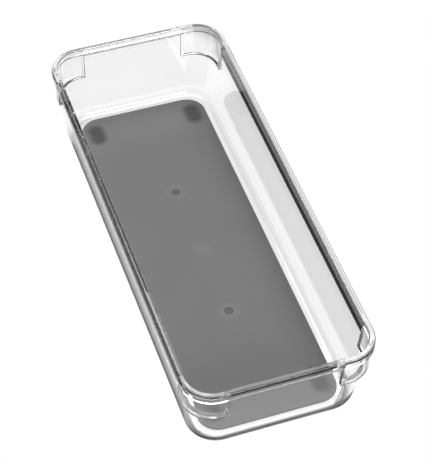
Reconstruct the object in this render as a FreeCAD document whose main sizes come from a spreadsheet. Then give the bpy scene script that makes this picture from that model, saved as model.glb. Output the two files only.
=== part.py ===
import FreeCAD, Part
import Sketcher
import os

# Clear drawer organizer tray with a soft grip liner and four grip feet.
# Frame: millimetres, origin on the table under the middle of the tray.
# X runs across the tray, Y runs along it, Z points up.

doc = FreeCAD.newDocument("DrawerTray")
V = FreeCAD.Vector

# Sizes
SIZES = [
    ("tray_width", 101.6),
    ("tray_length", 254.0),
    ("tray_height", 50.0),
    ("rim_width", 3.5),
    ("rim_depth", 4.8),
    ("rim_corner_radius", 16.7),
    ("rim_top_outer_fillet", 1.6),
    ("rim_top_inner_fillet", 0.6),
    ("wall_thick", 1.8),
    ("collar_depth", 9.2),
    ("base_inset", 6.0),
    ("base_corner_radius", 15.5),
    ("base_edge_radius", 5.4),
    ("floor_thick", 2.0),
    ("step_face_inset", 1.6),
    ("step_reach", 22.0),
    ("step_drop", 20.5),
    ("step_wall", 1.6),
    ("step_ledge_thick", 2.0),
    ("step_end_wall", 1.5),
    ("step_edge_fillet", 0.5),
    ("liner_margin", 7.7),
    ("liner_thick", 1.0),
    ("liner_corner_radius", 11.0),
    ("liner_edge_bevel", 0.3),
    ("gate_radius", 1.5),
    ("gate_depth", 0.3),
    ("gate_end_inset", 82.5),
    ("foot_wide", 9.0),
    ("foot_long", 14.5),
    ("foot_corner_radius", 4.0),
    ("foot_drop", 1.0),
    ("foot_seat_depth", 0.8),
    ("foot_seat_gap", 0.3),
    ("foot_edge_bevel", 0.3),
    ("foot_side_inset", 21.8),
    ("foot_end_inset", 26.5),
]
sheet = doc.addObject("Spreadsheet::Sheet", "Sizes")
for row, (alias, value) in enumerate(SIZES, start=1):
    sheet.set("A%d" % row, alias)
    sheet.set("B%d" % row, str(value))
    sheet.setAlias("B%d" % row, alias)
doc.recompute()

# Insets are measured inwards from the outer face of the rim.
# The outer face of the wall starts this far in at the top of the rim.
WALL_TOP_INSET = "(Sizes.rim_width - Sizes.wall_thick)"
# The wall leans in by this much for each millimetre down.
LEAN = "((Sizes.base_inset - %s) / (Sizes.tray_height - Sizes.foot_drop))" % WALL_TOP_INSET
FLOOR_TOP = "(Sizes.foot_drop + Sizes.floor_thick)"
# Up to the shoulder the round corners are cones, so the base edge rolls over evenly.
SHOULDER_RISE = "(1.3 * Sizes.base_edge_radius)"
SHOULDER = "(Sizes.foot_drop + %s)" % SHOULDER_RISE
SHOULDER_INSET = "(Sizes.base_inset - %s * %s)" % (LEAN, SHOULDER_RISE)
SHOULDER_RADIUS = "(Sizes.base_corner_radius + %s * %s)" % (LEAN, SHOULDER_RISE)
FLOOR_INSET = "(Sizes.base_inset + Sizes.wall_thick - %s * Sizes.floor_thick)" % LEAN
FLOOR_RADIUS = "(Sizes.base_corner_radius - Sizes.wall_thick + %s * Sizes.floor_thick)" % LEAN
STEP_BOTTOM = "(Sizes.tray_height - Sizes.step_drop)"
RIM_UNDERSIDE = "(Sizes.tray_height - Sizes.rim_depth)"
# Above the collar line the outer face stands upright while the inner face still leans.
COLLAR_LINE = "(Sizes.tray_height - Sizes.collar_depth)"
COLLAR_INSET = "(%s + %s * Sizes.collar_depth)" % (WALL_TOP_INSET, LEAN)
COLLAR_RADIUS = "(Sizes.rim_corner_radius - %s)" % COLLAR_INSET


def origin_plane(body, role):
    for feature in body.Origin.OriginFeatures:
        if feature.Role == role:
            return feature
    raise RuntimeError("no plane " + role)


def flat_sketch(body, name, height):
    sketch = body.newObject("Sketcher::SketchObject", name)
    sketch.AttachmentSupport = [(origin_plane(body, "XY_Plane"), "")]
    sketch.MapMode = "FlatFace"
    sketch.setExpression("AttachmentOffset.Base.z", height)
    return sketch


def bind(sketch, constraint, name, rule):
    index = sketch.addConstraint(constraint)
    sketch.renameConstraint(index, name)
    sketch.setExpression("Constraints." + name, rule)


def rounded_outline(sketch, wide, long, radius, start):
    # A rectangle with round corners, centred on the sketch origin.
    half_x = start[0] / 2.0
    half_y = start[1] / 2.0
    r = start[2]
    in_x = half_x - r
    in_y = half_y - r
    corners = [(in_x, in_y, 0), (-in_x, in_y, 90), (-in_x, -in_y, 180), (in_x, -in_y, 270)]
    arcs = []
    for cx, cy, turn in corners:
        circle = Part.Circle(V(cx, cy, 0), V(0, 0, 1), r)
        first = turn * 3.141592653589793 / 180.0
        arcs.append(sketch.addGeometry(Part.ArcOfCircle(circle, first, first + 1.5707963267948966)))
    ends = [
        (V(in_x, half_y, 0), V(-in_x, half_y, 0)),
        (V(-half_x, in_y, 0), V(-half_x, -in_y, 0)),
        (V(-in_x, -half_y, 0), V(in_x, -half_y, 0)),
        (V(half_x, -in_y, 0), V(half_x, in_y, 0)),
    ]
    sides = []
    for a, b in ends:
        sides.append(sketch.addGeometry(Part.LineSegment(a, b)))
    for k in range(4):
        sketch.addConstraint(Sketcher.Constraint("Tangent", arcs[k], 2, sides[k], 1))
        sketch.addConstraint(Sketcher.Constraint("Tangent", sides[k], 2, arcs[(k + 1) % 4], 1))
    sketch.addConstraint(Sketcher.Constraint("Horizontal", sides[0]))
    sketch.addConstraint(Sketcher.Constraint("Vertical", sides[1]))
    sketch.addConstraint(Sketcher.Constraint("Horizontal", sides[2]))
    sketch.addConstraint(Sketcher.Constraint("Vertical", sides[3]))
    for k in range(1, 4):
        sketch.addConstraint(Sketcher.Constraint("Equal", arcs[0], arcs[k]))
    sketch.addConstraint(Sketcher.Constraint("Symmetric", arcs[0], 3, arcs[2], 3, -1, 1))
    bind(sketch, Sketcher.Constraint("Radius", arcs[0], r), "corner", radius)
    bind(sketch, Sketcher.Constraint("DistanceX", sides[1], 1, sides[3], 1, 2 * half_x), "wide", wide)
    bind(sketch, Sketcher.Constraint("DistanceY", sides[2], 1, sides[0], 1, 2 * half_y), "long", long)


def inset_outline(body, name, height, inset, radius):
    # The tray outline drawn in by an inset, at one height.
    sketch = flat_sketch(body, name, height)
    wide = "Sizes.tray_width - 2 * %s" % inset
    long = "Sizes.tray_length - 2 * %s" % inset
    rounded_outline(sketch, wide, long, radius, (96.0, 248.0, 15.0))
    return sketch


def corner_outline(sketch, side_x, side_y, inset, reach, radius, tag):
    # One corner of the tray outline, closed by two straight lines towards the middle.
    r = 15.0
    far_x = 50.0
    far_y = 125.0
    near_x = 29.0
    near_y = 104.0
    arc_x = far_x - r
    arc_y = far_y - r
    turn = {(1, 1): 0, (-1, 1): 1, (-1, -1): 2, (1, -1): 3}[(side_x, side_y)]
    first = turn * 1.5707963267948966
    circle = Part.Circle(V(side_x * arc_x, side_y * arc_y, 0), V(0, 0, 1), r)
    arc = sketch.addGeometry(Part.ArcOfCircle(circle, first, first + 1.5707963267948966))
    flank_a = V(side_x * far_x, side_y * arc_y, 0)
    flank_b = V(side_x * far_x, side_y * near_y, 0)
    end_a = V(side_x * arc_x, side_y * far_y, 0)
    end_b = V(side_x * near_x, side_y * far_y, 0)
    inner = V(side_x * near_x, side_y * near_y, 0)
    flank = sketch.addGeometry(Part.LineSegment(flank_a, flank_b))
    end = sketch.addGeometry(Part.LineSegment(end_a, end_b))
    close_y = sketch.addGeometry(Part.LineSegment(end_b, inner))
    close_x = sketch.addGeometry(Part.LineSegment(inner, flank_b))
    # The arc runs anticlockwise, so which end meets the flank depends on the corner.
    on_flank, on_end = (1, 2) if side_x * side_y > 0 else (2, 1)
    sketch.addConstraint(Sketcher.Constraint("Tangent", arc, on_flank, flank, 1))
    sketch.addConstraint(Sketcher.Constraint("Tangent", arc, on_end, end, 1))
    sketch.addConstraint(Sketcher.Constraint("Coincident", end, 2, close_y, 1))
    sketch.addConstraint(Sketcher.Constraint("Coincident", close_y, 2, close_x, 1))
    sketch.addConstraint(Sketcher.Constraint("Coincident", close_x, 2, flank, 2))
    sketch.addConstraint(Sketcher.Constraint("Vertical", flank))
    sketch.addConstraint(Sketcher.Constraint("Horizontal", end))
    sketch.addConstraint(Sketcher.Constraint("Vertical", close_y))
    sketch.addConstraint(Sketcher.Constraint("Horizontal", close_x))
    bind(sketch, Sketcher.Constraint("Radius", arc, r), tag + "_corner", radius)
    far_x_rule = "Sizes.tray_width / 2 - %s" % inset
    far_y_rule = "Sizes.tray_length / 2 - %s" % inset
    near_x_rule = "Sizes.tray_width / 2 - %s" % reach
    near_y_rule = "Sizes.tray_length / 2 - %s" % reach
    for kind, line, sign, value, name, rule in (
        ("DistanceX", flank, side_x, far_x, "_flank", far_x_rule),
        ("DistanceY", end, side_y, far_y, "_end", far_y_rule),
        ("DistanceX", close_y, side_x, near_x, "_near_x", near_x_rule),
        ("DistanceY", close_x, side_y, near_y, "_near_y", near_y_rule),
    ):
        if sign > 0:
            constraint = Sketcher.Constraint(kind, -1, 1, line, 1, value)
        else:
            constraint = Sketcher.Constraint(kind, line, 1, -1, 1, value)
        bind(sketch, constraint, tag + name, rule)


CORNERS = (("back_left", -1, 1), ("back_right", 1, 1), ("front_left", -1, -1), ("front_right", 1, -1))


def edges_where(feature, test):
    names = []
    for index, edge in enumerate(feature.Shape.Edges, start=1):
        if test(edge.BoundBox):
            names.append("Edge%d" % index)
    return names


def dressed(body, feature, kind, name, rule, test):
    names = edges_where(feature, test)
    if not names:
        raise RuntimeError("no edges for " + name)
    dress = body.newObject("PartDesign::" + kind, name)
    dress.Base = (feature, names)
    dress.setExpression({"Fillet": "Radius", "Chamfer": "Size"}[kind], rule)
    feature.Visibility = False
    doc.recompute()
    return dress


def rounded(body, feature, name, radius, test):
    return dressed(body, feature, "Fillet", name, radius, test)


def bevelled(body, feature, name, bevel, test):
    return dressed(body, feature, "Chamfer", name, bevel, test)


def level(box, height):
    return abs(box.ZMin - height) < 0.01 and abs(box.ZMax - height) < 0.01


def size(alias):
    return float(sheet.get(alias))


# Tray shell
shell = doc.addObject("PartDesign::Body", "tray_shell")
shell.Label = "tray_shell"

# The rim is a flat band that stands out all round the top.
rim_line = inset_outline(shell, "RimOutline", RIM_UNDERSIDE, "0", "Sizes.rim_corner_radius")
doc.recompute()
rim = shell.newObject("PartDesign::Pad", "Rim")
rim.Profile = rim_line
rim.setExpression("Length", "Sizes.rim_depth")
doc.recompute()
rim_top = rounded(shell, rim, "RimTopEdge", "Sizes.rim_top_outer_fillet",
                  lambda box: level(box, size("tray_height")))

# Corner steps hang from the rim, as blocks for now.
step_sketch = flat_sketch(shell, "StepOutline", STEP_BOTTOM)
for name, side_x, side_y in CORNERS:
    corner_outline(step_sketch, side_x, side_y, "Sizes.step_face_inset", "Sizes.step_reach",
                   "Sizes.rim_corner_radius - Sizes.step_face_inset", name)
doc.recompute()
steps = shell.newObject("PartDesign::Pad", "CornerSteps")
steps.Profile = step_sketch
steps.setExpression("Length", "Sizes.step_drop - Sizes.rim_depth / 2")
doc.recompute()

step_low = size("tray_height") - size("step_drop")
face_x = size("tray_width") / 2 - size("step_face_inset")
face_y = size("tray_length") / 2 - size("step_face_inset")


def on_step_edge(box):
    # The lower edges of the step faces and the upright edges at their ends.
    on_face_x = box.XMax > face_x - 0.01 or box.XMin < -face_x + 0.01
    on_face_y = box.YMax > face_y - 0.01 or box.YMin < -face_y + 0.01
    if not (on_face_x or on_face_y):
        return False
    if level(box, step_low):
        return True
    upright = box.XLength < 0.01 and box.YLength < 0.01
    at_bottom = abs(box.ZMin - step_low) < 0.01
    ends = size("step_reach")
    at_end_x = abs(max(abs(box.XMin), abs(box.XMax)) - (size("tray_width") / 2 - ends)) < 0.01
    at_end_y = abs(max(abs(box.YMin), abs(box.YMax)) - (size("tray_length") / 2 - ends)) < 0.01
    return upright and at_bottom and (at_end_x or at_end_y)


step_round = rounded(shell, steps, "StepEdges", "Sizes.step_edge_fillet", on_step_edge)

# The outer wall is a loft through the base, shoulder, collar and top outlines.
base_line = inset_outline(shell, "BaseOutline", "Sizes.foot_drop", "Sizes.base_inset",
                          "Sizes.base_corner_radius")
shoulder_line = inset_outline(shell, "ShoulderOutline", SHOULDER, SHOULDER_INSET, SHOULDER_RADIUS)
collar_line = inset_outline(shell, "CollarOutline", COLLAR_LINE, COLLAR_INSET, COLLAR_RADIUS)
top_line = inset_outline(shell, "WallTopOutline", "Sizes.tray_height", COLLAR_INSET, COLLAR_RADIUS)
doc.recompute()
outer = shell.newObject("PartDesign::AdditiveLoft", "OuterWall")
outer.Profile = base_line
outer.Sections = [shoulder_line, collar_line, top_line]
outer.Ruled = True
doc.recompute()
base_edge = rounded(shell, outer, "BaseEdge", "Sizes.base_edge_radius",
                    lambda box: level(box, size("foot_drop")))

# The hollow follows the outer wall at an even thickness.
floor_line = inset_outline(shell, "FloorOutline", FLOOR_TOP, FLOOR_INSET, FLOOR_RADIUS)
inner_shoulder_line = inset_outline(shell, "InnerShoulderOutline", SHOULDER,
                                    "(%s + Sizes.wall_thick)" % SHOULDER_INSET,
                                    "%s - Sizes.wall_thick" % SHOULDER_RADIUS)
mouth_line = inset_outline(shell, "MouthOutline", "Sizes.tray_height", "Sizes.rim_width",
                           "Sizes.rim_corner_radius - Sizes.rim_width")
doc.recompute()
hollow = shell.newObject("PartDesign::SubtractiveLoft", "Hollow")
hollow.Profile = floor_line
hollow.Sections = [inner_shoulder_line, mouth_line]
hollow.Ruled = True
doc.recompute()
floor_z = size("foot_drop") + size("floor_thick")
floor_edge = rounded(shell, hollow, "FloorEdge", "Sizes.base_edge_radius - Sizes.wall_thick",
                     lambda box: level(box, floor_z))

# Inside each corner the wall is cut back, which leaves a ledge above the step.
recess_sketch = flat_sketch(shell, "RecessOutline", "Sizes.tray_height")
for name, side_x, side_y in CORNERS:
    corner_outline(recess_sketch, side_x, side_y, "(Sizes.step_face_inset + Sizes.step_wall)",
                   "(Sizes.step_reach - Sizes.step_end_wall)",
                   "Sizes.rim_corner_radius - Sizes.step_face_inset - Sizes.step_wall", name)
doc.recompute()
recess = shell.newObject("PartDesign::Pocket", "CornerRecesses")
recess.Profile = recess_sketch
recess.setExpression("Length", "Sizes.step_drop - Sizes.step_ledge_thick")
doc.recompute()

mouth_x = size("tray_width") / 2 - size("step_face_inset") - size("step_wall")
mouth_y = size("tray_length") / 2 - size("step_face_inset") - size("step_wall")


def on_mouth_edge(box):
    # The inner edge of the rim, all round the mouth of the tray.
    if not level(box, size("tray_height")):
        return False
    return max(abs(box.XMin), abs(box.XMax)) < mouth_x + 0.02 and \
        max(abs(box.YMin), abs(box.YMax)) < mouth_y + 0.02


mouth_edge = rounded(shell, recess, "MouthEdge", "Sizes.rim_top_inner_fillet", on_mouth_edge)



def foot_middle(span, edge, side):
    # The feet keep their distance from the sides and ends of the tray.
    return "%d * (Sizes.tray_%s / 2 - Sizes.foot_%s_inset)" % (side, span, edge)


# Shallow seats under the floor hold the feet.
for name, side_x, side_y in CORNERS:
    seat_sketch = flat_sketch(shell, "SeatOutline_" + name, "Sizes.foot_drop")
    seat_sketch.setExpression("AttachmentOffset.Base.x", foot_middle("width", "side", side_x))
    seat_sketch.setExpression("AttachmentOffset.Base.y", foot_middle("length", "end", side_y))
    rounded_outline(seat_sketch, "Sizes.foot_wide + 2 * Sizes.foot_seat_gap",
                    "Sizes.foot_long + 2 * Sizes.foot_seat_gap",
                    "Sizes.foot_corner_radius + Sizes.foot_seat_gap", (9.6, 15.1, 4.3))
    doc.recompute()
    seat = shell.newObject("PartDesign::Pocket", "FootSeat_" + name)
    seat.Profile = seat_sketch
    seat.Reversed = True
    seat.setExpression("Length", "Sizes.foot_seat_depth")
    doc.recompute()

# Soft grip liner, bonded flat on the floor
liner = doc.addObject("PartDesign::Body", "grip_liner")
liner.Label = "grip_liner"
liner_sketch = inset_outline(liner, "LinerOutline", FLOOR_TOP,
                             "(Sizes.base_inset + Sizes.liner_margin)", "Sizes.liner_corner_radius")
doc.recompute()
sheet_pad = liner.newObject("PartDesign::Pad", "LinerSheet")
sheet_pad.Profile = liner_sketch
sheet_pad.setExpression("Length", "Sizes.liner_thick")
doc.recompute()
liner_top = size("foot_drop") + size("floor_thick") + size("liner_thick")
liner_edge = bevelled(liner, sheet_pad, "LinerEdge", "Sizes.liner_edge_bevel",
                      lambda box: level(box, liner_top))

# Three small round dimples lie along the middle of the liner.
dimple_sketch = flat_sketch(liner, "DimpleOutline", "%s + Sizes.liner_thick" % FLOOR_TOP)
for tag, place in (("back", 1), ("middle", 0), ("front", -1)):
    ring = Part.Circle(V(0, place * 44.0, 0), V(0, 0, 1), 1.5)
    circle = dimple_sketch.addGeometry(ring)
    bind(dimple_sketch, Sketcher.Constraint("Radius", circle, 1.5), tag + "_radius", "Sizes.gate_radius")
    if place == 0:
        dimple_sketch.addConstraint(Sketcher.Constraint("Coincident", circle, 3, -1, 1))
        continue
    dimple_sketch.addConstraint(Sketcher.Constraint("PointOnObject", circle, 3, -2))
    if place > 0:
        reach = Sketcher.Constraint("DistanceY", -1, 1, circle, 3, 44.0)
    else:
        reach = Sketcher.Constraint("DistanceY", circle, 3, -1, 1, 44.0)
    bind(dimple_sketch, reach, tag + "_reach", "Sizes.tray_length / 2 - Sizes.gate_end_inset")
doc.recompute()
dimples = liner.newObject("PartDesign::Pocket", "Dimples")
dimples.Profile = dimple_sketch
dimples.setExpression("Length", "Sizes.gate_depth")
doc.recompute()

# Grip feet, one in each seat
feet = []
for name, side_x, side_y in CORNERS:
    foot = doc.addObject("PartDesign::Body", "foot_" + name)
    foot.Label = "foot_" + name
    foot.setExpression("Placement.Base.x", foot_middle("width", "side", side_x))
    foot.setExpression("Placement.Base.y", foot_middle("length", "end", side_y))
    foot_sketch = flat_sketch(foot, "FootOutline_" + name, "0")
    rounded_outline(foot_sketch, "Sizes.foot_wide", "Sizes.foot_long", "Sizes.foot_corner_radius",
                    (9.0, 14.0, 4.0))
    doc.recompute()
    foot_pad = foot.newObject("PartDesign::Pad", "FootBlock_" + name)
    foot_pad.Profile = foot_sketch
    foot_pad.setExpression("Length", "Sizes.foot_drop + Sizes.foot_seat_depth")
    doc.recompute()
    bevelled(foot, foot_pad, "FootEdge_" + name, "Sizes.foot_edge_bevel", lambda box: level(box, 0.0))
    feet.append(foot)
doc.recompute()

# Every feature has to be sound, and every piece has to be one closed solid.
for item in doc.Objects:
    if "Invalid" in item.State or "Error" in item.State:
        raise RuntimeError("feature not sound: " + item.Name)
os.makedirs("parts", exist_ok=True)
for body in [shell, liner] + feet:
    shape = body.Shape
    if shape.isNull() or not shape.isValid() or len(shape.Solids) != 1 or shape.Volume <= 0:
        raise RuntimeError("piece not sound: " + body.Label)
    shape.exportStep("parts/" + body.Label + ".step")
    box = shape.optimalBoundingBox()
    if body is shell:
        rim_reach = box.XMax - size("tray_width") / 2, box.YMax - size("tray_length") / 2
        if max(abs(rim_reach[0]), abs(rim_reach[1]), abs(box.ZMax - size("tray_height"))) > 0.01:
            raise RuntimeError("the tray is not as wide, long and high as its sizes")
    print(body.Label, round(shape.Volume, 1), round(box.XMin, 2), round(box.XMax, 2), round(box.YMin, 2),
          round(box.YMax, 2), round(box.ZMin, 2), round(box.ZMax, 2))
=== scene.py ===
import math

import bmesh
import bpy
from mathutils import Matrix, Vector


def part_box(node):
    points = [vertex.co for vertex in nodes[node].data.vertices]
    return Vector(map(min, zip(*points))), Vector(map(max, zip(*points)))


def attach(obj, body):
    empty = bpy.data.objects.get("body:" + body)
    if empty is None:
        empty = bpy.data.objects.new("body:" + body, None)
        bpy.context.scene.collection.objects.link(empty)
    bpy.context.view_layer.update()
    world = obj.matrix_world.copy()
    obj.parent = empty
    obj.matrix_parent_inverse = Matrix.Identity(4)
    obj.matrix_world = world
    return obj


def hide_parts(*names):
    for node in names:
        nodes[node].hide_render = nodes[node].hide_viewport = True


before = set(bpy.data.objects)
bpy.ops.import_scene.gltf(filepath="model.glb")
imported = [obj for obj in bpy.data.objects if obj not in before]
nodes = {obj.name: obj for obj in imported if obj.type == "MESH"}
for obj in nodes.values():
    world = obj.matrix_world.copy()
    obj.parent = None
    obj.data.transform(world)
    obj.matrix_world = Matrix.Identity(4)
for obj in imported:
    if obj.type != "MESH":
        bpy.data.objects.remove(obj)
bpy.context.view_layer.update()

# Camera at the photograph's viewing angle, in metres and degrees.
LOOK_AT = Vector((0.01227, 0.01272, 0.0))
AZIMUTH = math.radians(-20.93)
ELEVATION = math.radians(48.99)
ROLL = math.radians(2.24)
DISTANCE = 0.9689
LENS = 146.73


def photo_camera():
    back = Vector((math.sin(AZIMUTH) * math.cos(ELEVATION),
                   -math.cos(AZIMUTH) * math.cos(ELEVATION),
                   math.sin(ELEVATION)))
    right = Vector((math.cos(AZIMUTH), math.sin(AZIMUTH), 0))
    up = back.cross(right)
    side = right * math.cos(ROLL) + up * math.sin(ROLL)
    top = up * math.cos(ROLL) - right * math.sin(ROLL)
    data = bpy.data.cameras.new("photo_camera")
    data.lens = LENS
    data.sensor_width = 36
    data.sensor_fit = "HORIZONTAL"
    camera = bpy.data.objects.new("photo_camera", data)
    turn = Matrix((side, top, back)).transposed().to_4x4()
    camera.matrix_world = Matrix.Translation(LOOK_AT + back * DISTANCE) @ turn
    bpy.context.scene.collection.objects.link(camera)
    bpy.context.scene.camera = camera
    return camera


def new_material(name):
    material = bpy.data.materials.new(name)
    material.use_nodes = True
    material.node_tree.nodes.clear()
    return material, material.node_tree.nodes, material.node_tree.links


def group_with(name, inputs, outputs):
    group = bpy.data.node_groups.new(name, "ShaderNodeTree")
    for label, value in inputs:
        socket = group.interface.new_socket(label, in_out="INPUT", socket_type="NodeSocketFloat")
        socket.default_value = value
    for label in outputs:
        group.interface.new_socket(label, in_out="OUTPUT", socket_type="NodeSocketFloat")
    start = group.nodes.new("NodeGroupInput")
    end = group.nodes.new("NodeGroupOutput")
    return group, start, end


def calc(group, operation, *values):
    # One maths node on sockets or plain numbers, giving its result socket.
    node = group.nodes.new("ShaderNodeMath")
    node.operation = operation
    for socket, value in zip(node.inputs, values):
        if isinstance(value, bpy.types.NodeSocket):
            group.links.new(value, socket)
        else:
            socket.default_value = value
    return node.outputs[0]


def fade(group, value, start, stop):
    # 1 below start, 0 above stop, smooth in between.
    node = group.nodes.new("ShaderNodeMapRange")
    node.interpolation_type = "SMOOTHSTEP"
    for label, number in (("Value", value), ("From Min", start), ("From Max", stop)):
        if isinstance(number, bpy.types.NodeSocket):
            group.links.new(number, node.inputs[label])
        else:
            node.inputs[label].default_value = number
    node.inputs["To Min"].default_value = 1.0
    node.inputs["To Max"].default_value = 0.0
    return node.outputs["Result"]


def place_parts(group):
    place = group.nodes.new("ShaderNodeTexCoord")
    parts = group.nodes.new("ShaderNodeSeparateXYZ")
    group.links.new(place.outputs["Object"], parts.inputs[0])
    return place.outputs["Object"], parts.outputs


def fine_grain():
    # Fine rubber or mould grain over a slow mottle, both as values from 0 to 1.
    group, start, end = group_with("fine_grain", [("Grain Size", 0.0005), ("Mottle Size", 0.02)],
                                   ["Grain", "Mottle"])
    place, parts = place_parts(group)
    for label, detail in (("Grain", 4.0), ("Mottle", 3.0)):
        noise = group.nodes.new("ShaderNodeTexNoise")
        noise.inputs["Detail"].default_value = detail
        noise.inputs["Roughness"].default_value = 0.6
        group.links.new(calc(group, "DIVIDE", 1.0, start.outputs[label + " Size"]), noise.inputs["Scale"])
        group.links.new(place, noise.inputs["Vector"])
        group.links.new(noise.outputs["Fac"], end.inputs[label])
    return group


def round_patch(tree, across, along, half_wide, half_long, corner, blur):
    # 1 within a rectangle with round corners and 0 outside it, with a soft edge.
    squares = []
    for away, half in ((across, half_wide), (along, half_long)):
        over = calc(tree, "SUBTRACT", calc(tree, "ABSOLUTE", away), calc(tree, "SUBTRACT", half, corner))
        over = calc(tree, "MAXIMUM", over, 0.0)
        squares.append(calc(tree, "MULTIPLY", over, over))
    reach = calc(tree, "SQRT", calc(tree, "ADD", *squares))
    return fade(tree, reach, calc(tree, "SUBTRACT", corner, blur), calc(tree, "ADD", corner, blur))


def foot_shade():
    # The feet show through the soft liner as four dark patches of painted shade with blurred edges.
    group, start, end = group_with("foot_shade", [("Side", 0.03), ("End", 0.1), ("Half Wide", 0.004),
                                                  ("Half Long", 0.007), ("Corner", 0.004),
                                                  ("Blur", 0.002)], ["Patch"])
    place, parts = place_parts(group)
    sizes = start.outputs
    across = calc(group, "SUBTRACT", calc(group, "ABSOLUTE", parts["X"]), sizes["Side"])
    along = calc(group, "SUBTRACT", calc(group, "ABSOLUTE", parts["Y"]), sizes["End"])
    patch = round_patch(group, across, along, sizes["Half Wide"], sizes["Half Long"], sizes["Corner"],
                        sizes["Blur"])
    group.links.new(patch, end.inputs["Patch"])
    return group


def gate_marks():
    # Moulding marks on the middle line: a dark ring round a dot, in a pale halo.
    group, start, end = group_with("gate_marks", [("Along", 0.0445), ("Ring", 0.0015), ("Halo", 0.006)],
                                   ["Dark", "Pale", "Middle"])
    place, parts = place_parts(group)
    off = calc(group, "SUBTRACT", calc(group, "ABSOLUTE", parts["Y"]), start.outputs["Along"])
    x_squared = calc(group, "MULTIPLY", parts["X"], parts["X"])
    reach = calc(group, "SQRT", calc(group, "ADD", x_squared, calc(group, "MULTIPLY", off, off)))
    ring = start.outputs["Ring"]
    disc = fade(group, reach, ring, calc(group, "MULTIPLY", ring, 1.4))
    dot = fade(group, reach, calc(group, "MULTIPLY", ring, 0.1), calc(group, "MULTIPLY", ring, 0.4))
    core = fade(group, reach, calc(group, "MULTIPLY", ring, 0.5), calc(group, "MULTIPLY", ring, 0.8))
    pale = calc(group, "MULTIPLY", calc(group, "SUBTRACT", core, dot), 0.45)
    group.links.new(calc(group, "SUBTRACT", disc, pale), end.inputs["Dark"])
    halo = fade(group, reach, ring, start.outputs["Halo"])
    group.links.new(calc(group, "SUBTRACT", halo, disc), end.inputs["Pale"])
    y_squared = calc(group, "MULTIPLY", parts["Y"], parts["Y"])
    middle = calc(group, "SQRT", calc(group, "ADD", x_squared, y_squared))
    group.links.new(fade(group, middle, 0.0, start.outputs["Halo"]), end.inputs["Middle"])
    return group


def use_group(tree, group, **values):
    node = tree.nodes.new("ShaderNodeGroup")
    node.node_tree = group
    for label, value in values.items():
        node.inputs[label.replace("_", " ")].default_value = value
    return node.outputs


def blend(tree, amount, first, second):
    # A colour between two, each a socket or a plain colour, by an amount from 0 to 1.
    node = tree.nodes.new("ShaderNodeMix")
    node.data_type = "RGBA"
    tree.links.new(amount, node.inputs["Factor"])
    for label, colour in (("A", first), ("B", second)):
        if isinstance(colour, bpy.types.NodeSocket):
            tree.links.new(colour, node.inputs[label])
        else:
            node.inputs[label].default_value = (*colour, 1)
    return node.outputs["Result"]


def spread(tree, value, low, high):
    node = tree.nodes.new("ShaderNodeMapRange")
    node.inputs["To Min"].default_value = low
    node.inputs["To Max"].default_value = high
    tree.links.new(value, node.inputs["Value"])
    return node.outputs["Result"]


def relief(tree, height, depth, strength=1.0):
    node = tree.nodes.new("ShaderNodeBump")
    node.inputs["Strength"].default_value = strength
    node.inputs["Distance"].default_value = depth
    tree.links.new(height, node.inputs["Height"])
    return node.outputs["Normal"]


def clear_plastic(grain):
    # Clear moulded plastic with a faint wave in its faces and a trace of wear.
    material, made, links = new_material("clear_plastic")
    tree = material.node_tree
    out = made.new("ShaderNodeOutputMaterial")
    shader = made.new("ShaderNodeBsdfPrincipled")
    shader.inputs["Transmission Weight"].default_value = 1.0
    shader.inputs["IOR"].default_value = PLASTIC_INDEX
    wear = use_group(tree, grain, Grain_Size=0.0012, Mottle_Size=0.03)
    links.new(blend(tree, wear["Mottle"], PLASTIC_TONE, PLASTIC_PALE), shader.inputs["Base Color"])
    links.new(spread(tree, wear["Grain"], 0.0, PLASTIC_WEAR), shader.inputs["Roughness"])
    links.new(relief(tree, wear["Mottle"], PLASTIC_WAVE), shader.inputs["Normal"])
    links.new(shader.outputs[0], out.inputs["Surface"])
    return material


def liner_rubber(grain):
    # Grey rubber skin: mottle and grain, gate marks, painted shade where the feet darken it from below,
    # and painted light pooled at both ends.
    material, made, links = new_material("liner_rubber")
    tree = material.node_tree
    out = made.new("ShaderNodeOutputMaterial")
    shader = made.new("ShaderNodeBsdfPrincipled")
    skin = use_group(tree, grain, Grain_Size=0.0006, Mottle_Size=0.03)
    colour = blend(tree, skin["Mottle"], LINER_TONE, LINER_PALE)
    # Painted pool of light at each end of the liner, paler towards the end walls.
    place, parts = place_parts(tree)
    end_light_fade = fade(tree, calc(tree, "ABSOLUTE", parts["Y"]), LIT_END_FROM, LIT_END_TO)
    colour = blend(tree, spread(tree, end_light_fade, LIT_END_SHARE, 0.0), colour, HALO_AND_END_LIGHT_TONE)
    # Painted shade: the liner darkened over each foot beneath.
    low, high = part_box("foot_back_right")
    feet = use_group(tree, foot_shade(), Side=(low.x + high.x) / 2, End=(low.y + high.y) / 2,
                     Half_Wide=(high.x - low.x) / 2, Half_Long=(high.y - low.y) / 2, Blur=FOOT_BLUR)
    colour = blend(tree, spread(tree, feet["Patch"], 0.0, FOOT_SHADE), colour, FOOT_SHADE_AND_MARK_TONE)
    marks = use_group(tree, gate_marks(), Along=GATE_ALONG, Ring=MARK_REACH, Halo=GATE_HALO)
    colour = blend(tree, spread(tree, marks["Pale"], 0.0, HALO_SHARE), colour, HALO_AND_END_LIGHT_TONE)
    colour = blend(tree, spread(tree, marks["Middle"], 0.0, HALO_SHARE), colour, HALO_AND_END_LIGHT_TONE)
    colour = blend(tree, spread(tree, marks["Dark"], 0.0, MARK_SHARE), colour, FOOT_SHADE_AND_MARK_TONE)
    links.new(colour, shader.inputs["Base Color"])
    links.new(spread(tree, skin["Grain"], 0.52, 0.7), shader.inputs["Roughness"])
    shader.inputs["Specular IOR Level"].default_value = 0.35
    links.new(relief(tree, skin["Grain"], 0.0001, 0.25), shader.inputs["Normal"])
    links.new(shader.outputs[0], out.inputs["Surface"])
    return material


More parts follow.
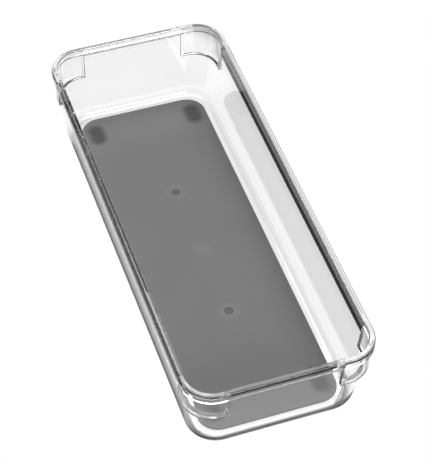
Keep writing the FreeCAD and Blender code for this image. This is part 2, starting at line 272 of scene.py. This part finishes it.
def foot_rubber(grain):
    material, made, links = new_material("foot_rubber")
    tree = material.node_tree
    out = made.new("ShaderNodeOutputMaterial")
    shader = made.new("ShaderNodeBsdfPrincipled")
    skin = use_group(tree, grain, Grain_Size=0.0004, Mottle_Size=0.004)
    links.new(blend(tree, skin["Mottle"], (0.07, 0.07, 0.07), (0.11, 0.11, 0.11)),
              shader.inputs["Base Color"])
    links.new(spread(tree, skin["Grain"], 0.55, 0.75), shader.inputs["Roughness"])
    links.new(relief(tree, skin["Grain"], 0.0001, 0.4), shader.inputs["Normal"])
    links.new(shader.outputs[0], out.inputs["Surface"])
    return material


def round_loop(shape, half_x, half_y, radius, z, steps):
    # The points of a rectangle with round corners, anticlockwise from above.
    points = []
    for side_x, side_y, first in ((1, 1, 0), (-1, 1, 90), (-1, -1, 180), (1, -1, 270)):
        for k in range(steps + 1):
            turn = math.radians(first + 90 * k / steps)
            x = side_x * (half_x - radius) + radius * math.cos(turn)
            y = side_y * (half_y - radius) + radius * math.sin(turn)
            points.append(shape.verts.new((x, y, z)))
    return points


def joined(shape, points):
    return [shape.edges.new((a, b)) for a, b in zip(points, points[1:] + points[:1])]


def bonded_liner(material):
    # The liner skin, moulded onto the floor, so its underside sits just within the plastic.
    low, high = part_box("grip_liner")
    shape = bmesh.new()
    top = joined(shape, round_loop(shape, high.x, high.y, LINER_CORNER, high.z, 12))
    rings = []
    for y in (-GATE_ALONG, 0.0, GATE_ALONG):
        made = bmesh.ops.create_circle(shape, segments=32, radius=GATE_RING,
                                       matrix=Matrix.Translation((0, y, high.z)))
        rings.append(list({edge for point in made["verts"] for edge in point.link_edges}))
    bmesh.ops.triangle_fill(shape, use_beauty=True, edges=top + [edge for ring in rings for edge in ring],
                            normal=(0, 0, 1))
    for loop, drop in [(top, high.z - low.z + BOND_DEPTH)] + [(ring, GATE_DEPTH) for ring in rings]:
        down = bmesh.ops.extrude_edge_only(shape, edges=loop)["geom"]
        points = [item for item in down if isinstance(item, bmesh.types.BMVert)]
        edges = [item for item in down if isinstance(item, bmesh.types.BMEdge)]
        bmesh.ops.translate(shape, verts=points, vec=(0, 0, -drop))
        bmesh.ops.contextual_create(shape, geom=edges)
    bmesh.ops.recalc_face_normals(shape, faces=shape.faces)
    bmesh.ops.bevel(shape, geom=top, offset=LINER_EDGE, segments=3, profile=0.5, affect="EDGES",
                    material=-1)
    mesh = bpy.data.meshes.new("liner_skin")
    shape.to_mesh(mesh)
    shape.free()
    mesh.materials.append(material)
    liner = bpy.data.objects.new("liner_skin", mesh)
    bpy.context.scene.collection.objects.link(liner)
    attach(liner, "root")
    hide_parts("grip_liner")
    return liner


def finish_node(name, material):
    for slot in nodes[name].material_slots:
        slot.material = material


def pale_floor():
    # A softly glowing table with painted light: bright near the tray and dim further out, with a painted
    # shadow at the tray's front and left and a painted contact shadow along its foot.
    mesh = bpy.data.meshes.new("floor")
    shape = bmesh.new()
    bmesh.ops.create_circle(shape, cap_ends=True, segments=96, radius=FLOOR_RADIUS,
                            matrix=Matrix.Translation((0, 0, -FLOOR_DROP)))
    shape.to_mesh(mesh)
    shape.free()
    floor = bpy.data.objects.new("floor", mesh)
    bpy.context.scene.collection.objects.link(floor)
    material, made, links = new_material("pale_floor")
    tree = material.node_tree
    out = made.new("ShaderNodeOutputMaterial")
    lit = made.new("ShaderNodeBsdfPrincipled")
    lit.inputs["Roughness"].default_value = 1.0
    lit.inputs["Specular IOR Level"].default_value = 0.0
    lit.inputs["Emission Strength"].default_value = FLOOR_GLOW
    # Painted pool of light near the tray, dim further out.
    place, parts = place_parts(tree)
    painted_table_light = round_patch(tree, parts["X"], parts["Y"], *LIT_HALF, LIT_CORNER, LIT_BLUR)
    painted_table_light = spread(tree, painted_table_light, FAR_LEVEL, 1.0)
    # Painted shadow to the front and left of the tray, left off beneath it.
    left = calc(tree, "ADD", parts["X"], SHADE_SHIFT[0])
    front = calc(tree, "ADD", parts["Y"], SHADE_SHIFT[1])
    shade = round_patch(tree, left, front, *SHADE_HALF, SHADE_CORNER, SHADE_BLUR)
    under = round_patch(tree, parts["X"], parts["Y"], *UNDER_HALF, UNDER_CORNER, UNDER_BLUR)
    shade = calc(tree, "MAXIMUM", calc(tree, "SUBTRACT", shade, under), 0.0)
    painted_table_light = calc(tree, "MULTIPLY", painted_table_light, spread(tree, shade, 1.0, SHADE_LEVEL))
    # Painted dark contact shadow along the tray's foot at the front and left.
    front = calc(tree, "ADD", parts["Y"], CONTACT_SHADOW_SHIFT)
    foot = round_patch(tree, parts["X"], front, *CONTACT_SHADOW_HALF, UNDER_CORNER, CONTACT_SHADOW_BLUR)
    contact_shadow = calc(tree, "MAXIMUM", calc(tree, "SUBTRACT", foot, under), 0.0)
    sides = calc(tree, "MAXIMUM", fade(tree, parts["X"], -0.034, -0.030),
                 fade(tree, parts["Y"], -0.105, -0.090))
    contact_shadow = calc(tree, "MULTIPLY", contact_shadow, sides)
    painted_table_light = calc(tree, "MULTIPLY", painted_table_light, spread(tree, contact_shadow, 1.0, CONTACT_SHADOW_LEVEL))
    # The painted light and shadows set both the table's colour and its glow; camera rays see it plain
    # white.
    links.new(blend(tree, painted_table_light, (0.02, 0.02, 0.02), TABLE_TONE), lit.inputs["Base Color"])
    links.new(blend(tree, painted_table_light, (0.02, 0.02, 0.02), (1.0, 1.0, 1.0)), lit.inputs["Emission Color"])
    bright = made.new("ShaderNodeEmission")
    bright.inputs["Strength"].default_value = 1.0
    path = made.new("ShaderNodeLightPath")
    mix = made.new("ShaderNodeMixShader")
    links.new(path.outputs["Is Camera Ray"], mix.inputs[0])
    links.new(lit.outputs[0], mix.inputs[1])
    links.new(bright.outputs[0], mix.inputs[2])
    clear = made.new("ShaderNodeBsdfTransparent")
    side = made.new("ShaderNodeNewGeometry")
    seen = made.new("ShaderNodeMixShader")
    links.new(side.outputs["Backfacing"], seen.inputs[0])
    links.new(mix.outputs[0], seen.inputs[1])
    links.new(clear.outputs[0], seen.inputs[2])
    links.new(seen.outputs[0], out.inputs["Surface"])
    mesh.materials.append(material)
    return floor


def softbox(name, place, aim, wide, long, power):
    data = bpy.data.lights.new(name, "AREA")
    data.shape = "RECTANGLE"
    data.size = wide
    data.size_y = long
    data.energy = power
    lamp = bpy.data.objects.new(name, data)
    lamp.location = place
    lamp.rotation_euler = (Vector(aim) - Vector(place)).to_track_quat("-Z", "Y").to_euler()
    bpy.context.scene.collection.objects.link(lamp)
    return lamp


def pale_studio():
    # A white backdrop for the camera over dim surroundings for the tray.
    world = bpy.data.worlds.new("studio")
    world.use_nodes = True
    tree = world.node_tree
    path = tree.nodes.new("ShaderNodeLightPath")
    tone = spread(tree, path.outputs["Is Camera Ray"], SURROUNDINGS, 1.0)
    tree.links.new(tone, tree.nodes["Background"].inputs["Color"])
    bpy.context.scene.world = world


# Clear plastic
PLASTIC_INDEX = 1.58
PLASTIC_TONE = (0.978, 0.978, 0.978)
PLASTIC_PALE = (0.988, 0.988, 0.988)
PLASTIC_WEAR = 0.03
PLASTIC_WAVE = 0.00001

# Grip liner and what shows through it, in metres
LINER_TONE = (0.22, 0.22, 0.22)
LINER_PALE = (0.25, 0.25, 0.25)
LINER_CORNER = 0.011
LINER_EDGE = 0.0003
BOND_DEPTH = 0.00005
# Dark tone for the painted shade over the feet and for the gate marks' dark rings.
FOOT_SHADE_AND_MARK_TONE = (0.07, 0.07, 0.07)
FOOT_SHADE = 0.8
FOOT_BLUR = 0.0025
GATE_ALONG = 0.0445
GATE_RING = 0.0015
GATE_DEPTH = 0.00012
GATE_HALO = 0.008
# Pale tone for the gate halos and for the painted pool of light at the liner's ends.
HALO_AND_END_LIGHT_TONE = (0.32, 0.32, 0.32)
# Reach and share of the painted light at the liner's ends.
LIT_END_FROM = 0.08
LIT_END_TO = 0.115
LIT_END_SHARE = 0.6
HALO_SHARE = 0.35
MARK_REACH = 0.0021
MARK_SHARE = 0.55

# Table, lights and surroundings
FLOOR_RADIUS = 4.0
FLOOR_DROP = 0.0001
FLOOR_GLOW = 0.88
TABLE_TONE = (0.15, 0.15, 0.15)
# Painted pool of light, painted shadow and painted contact shadow on the table.
LIT_HALF = (0.068, 0.180)
LIT_CORNER = 0.03
LIT_BLUR = 0.010
FAR_LEVEL = 0.3
SHADE_SHIFT = (0.006, 0.0195)
SHADE_HALF = (0.046, 0.1355)
SHADE_CORNER = 0.022
SHADE_BLUR = 0.008
SHADE_LEVEL = 0.55
UNDER_HALF = (0.0400, 0.1162)
UNDER_CORNER = 0.014
UNDER_BLUR = 0.0015
CONTACT_SHADOW_SHIFT = 0.0056
CONTACT_SHADOW_HALF = (0.0464, 0.1178)
CONTACT_SHADOW_BLUR = 0.001
CONTACT_SHADOW_LEVEL = 0.1
OVERHEAD_POWER = 10.5
OVERHEAD_WIDE = 0.9
FRONT_POWER = 4.0
FRONT_WIDE = 0.5
SURROUNDINGS = 0.14

grain = fine_grain()
finish_node("tray_shell", clear_plastic(grain))
bonded_liner(liner_rubber(grain))
foot_finish = foot_rubber(grain)
for name in nodes:
    if name.startswith("foot_"):
        finish_node(name, foot_finish)

pale_floor()
softbox("overhead_softbox", (0.17, 0.36, 1.3), (0, 0, 0), OVERHEAD_WIDE, OVERHEAD_WIDE, OVERHEAD_POWER)
softbox("front_softbox", (0.28, -0.91, 0.74), (0, 0, 0), FRONT_WIDE, FRONT_WIDE, FRONT_POWER)
pale_studio()
bpy.context.scene.view_settings.view_transform = "Standard"
bpy.context.scene.cycles.max_bounces = 24
bpy.context.scene.cycles.transmission_bounces = 24
bpy.context.scene.cycles.glossy_bounces = 16
photo_camera()
